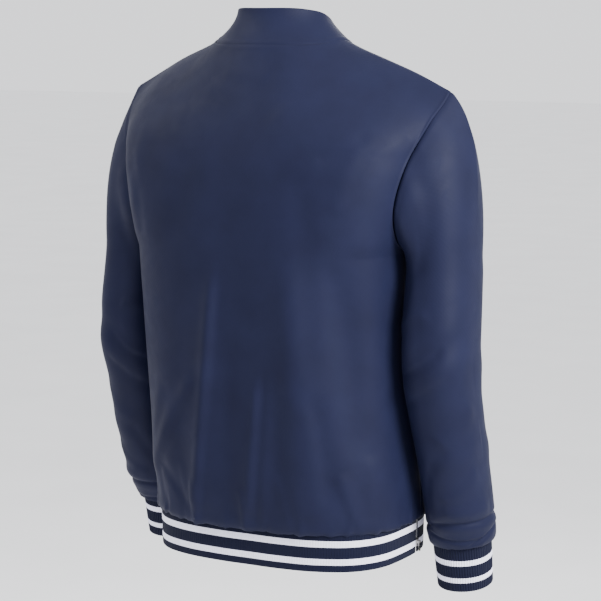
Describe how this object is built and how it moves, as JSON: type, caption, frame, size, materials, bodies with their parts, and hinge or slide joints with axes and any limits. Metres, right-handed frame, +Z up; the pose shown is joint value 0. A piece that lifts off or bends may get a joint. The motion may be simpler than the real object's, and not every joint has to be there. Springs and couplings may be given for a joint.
{
  "type": "bomber jacket",
  "caption": "Hollow worn bomber jacket, zipped up, with a stand collar and ribbed striped hem and cuffs.",
  "frame": {"origin": "midway between the two side-neck points, where the wearer's shoulders carry the garment", "axes": "+Z up, -Y towards the garment's front, -X towards the wearer's right"},
  "size_m": [0.5702, 0.2973, 0.7786],
  "materials": {
    "shell": "satin woven polyamide",
    "rib": "2x2 knitted rib, navy with white stripes",
    "zip_tape": "woven zip tape with teeth",
    "zip_metal": "nickel-plated zinc"
  },
  "bodies": {
    "garment": {"back": "shell", "front_left": "shell", "front_right": "shell", "sleeve_left": "shell", "sleeve_right": "shell", "collar": "shell", "hem_back": "rib", "hem_front_left": "rib", "hem_front_right": "rib", "cuff_left": "rib", "cuff_right": "rib", "front_zip_left": "zip_tape", "front_zip_right": "zip_tape", "side_zip_back": "zip_tape", "side_zip_front": "zip_tape", "front_slider": "zip_metal", "side_slider": "zip_metal"},
    "front_pull": {"front_pull": "zip_metal"},
    "side_pull": {"side_pull": "zip_metal"}
  },
  "joints": [
    {"name": "front_pull_hinge", "type": "hinge", "parent": "garment", "child": "front_pull", "pos_m": [0, -0.05673, -0.03667], "axis": [-1, 0, 0], "range_deg": [0, 150]},
    {"name": "side_pull_hinge", "type": "hinge", "parent": "garment", "child": "side_pull", "pos_m": [-0.19119, -0.01608, -0.66948], "axis": [0, 1, 0], "range_deg": [0, 150]}
  ]
}
